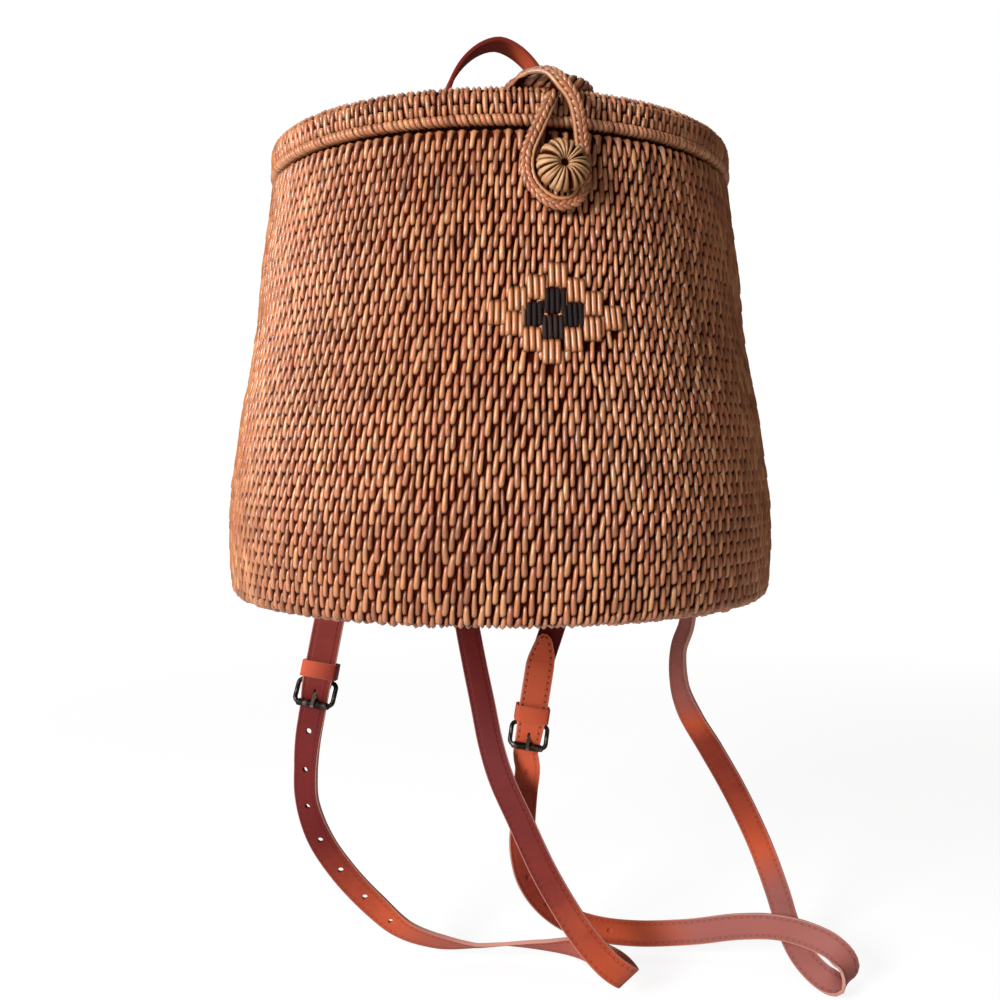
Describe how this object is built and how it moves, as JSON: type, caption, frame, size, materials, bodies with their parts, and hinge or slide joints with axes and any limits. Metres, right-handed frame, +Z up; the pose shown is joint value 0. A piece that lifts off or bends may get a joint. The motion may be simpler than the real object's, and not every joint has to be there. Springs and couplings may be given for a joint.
{
  "type": "pack basket",
  "caption": "Round woven cane basket worn on the back, with a hinged lid, loop and button closure, leather lid handle and buckled leather shoulder straps.",
  "frame": {"origin": "centre of the underside of the base", "axes": "+Z up, -Y towards the front with the button and loop, +X to the right of someone who wears it"},
  "size_m": [0.38, 0.2924, 0.5582],
  "materials": {
    "cane": "varnished coiled cane",
    "cane_rim": "varnished wrapped cane",
    "cane_inner": "plain cane",
    "straw": "polished straw",
    "leather": "smooth, cut edges",
    "antique_metal": "dark antique"
  },
  "bodies": {
    "basket": {"basket_base": "cane", "basket_wall": "cane", "basket_rim": "cane", "inner_collar": "cane_inner", "hinge_ring_left": "cane_rim", "hinge_ring_right": "cane_rim", "closure_button": "straw", "button_cord": "cane_inner", "shoulder_strap_left": "leather", "shoulder_strap_right": "leather", "strap_left_rivet_1": "antique_metal", "strap_left_rivet_2": "antique_metal", "strap_right_rivet_1": "antique_metal", "strap_right_rivet_2": "antique_metal", "strap_tab_left": "leather", "strap_tab_right": "leather", "tab_left_rivet_1": "antique_metal", "tab_left_rivet_2": "antique_metal", "tab_right_rivet_1": "antique_metal", "tab_right_rivet_2": "antique_metal"},
    "lid": {"lid_panel": "cane", "lid_rim": "cane_rim", "lid_handle": "leather", "handle_rivet_left": "antique_metal", "handle_rivet_right": "antique_metal", "loop_rosette": "cane_rim"},
    "loop": {"closure_loop": "cane_rim"},
    "frame_left": {"buckle_frame_left": "antique_metal"},
    "prong_left": {"buckle_prong_left": "antique_metal"},
    "keeper_left": {"strap_keeper_left": "leather"},
    "frame_right": {"buckle_frame_right": "antique_metal"},
    "prong_right": {"buckle_prong_right": "antique_metal"},
    "keeper_right": {"strap_keeper_right": "leather"}
  },
  "joints": [
    {"name": "lid_hinge", "type": "hinge", "parent": "basket", "child": "lid", "pos_m": [0, 0.1188, 0.20615], "axis": [-1, 0, 0], "range_deg": [0, 105], "deforming": ["closure_loop"]},
    {"name": "loop_swing", "type": "hinge", "parent": "lid", "child": "loop", "pos_m": [0, -0.1212, 0.223], "axis": [-1, 0, 0], "range_deg": [0, 110], "deforming": ["closure_loop"]},
    {"name": "frame_left_turn", "type": "hinge", "parent": "basket", "child": "frame_left", "pos_m": [-0.0917, 0.1157, -0.0733], "axis": [-0.9555, 0.24, 0.1714], "range_deg": [0, 20]},
    {"name": "prong_left_lift", "type": "hinge", "parent": "frame_left", "child": "prong_left", "pos_m": [-0.0917, 0.1157, -0.0733], "axis": [-0.9555, 0.24, 0.1714], "range_deg": [0, 30]},
    {"name": "keeper_left_slide", "type": "slide", "parent": "basket", "child": "keeper_left", "axis": [0.1999, 0.1, 0.9747], "range_m": [0, 0.012]},
    {"name": "frame_right_turn", "type": "hinge", "parent": "basket", "child": "frame_right", "pos_m": [0.0462, 0.116, -0.109], "axis": [-0.9645, 0.2103, 0.16], "range_deg": [0, 20]},
    {"name": "prong_right_lift", "type": "hinge", "parent": "frame_right", "child": "prong_right", "pos_m": [0.0462, 0.116, -0.109], "axis": [-0.9645, 0.2103, 0.16], "range_deg": [0, 30]},
    {"name": "keeper_right_slide", "type": "slide", "parent": "basket", "child": "keeper_right", "axis": [0.17, 0.03, 0.985], "range_m": [0, 0.012]}
  ]
}
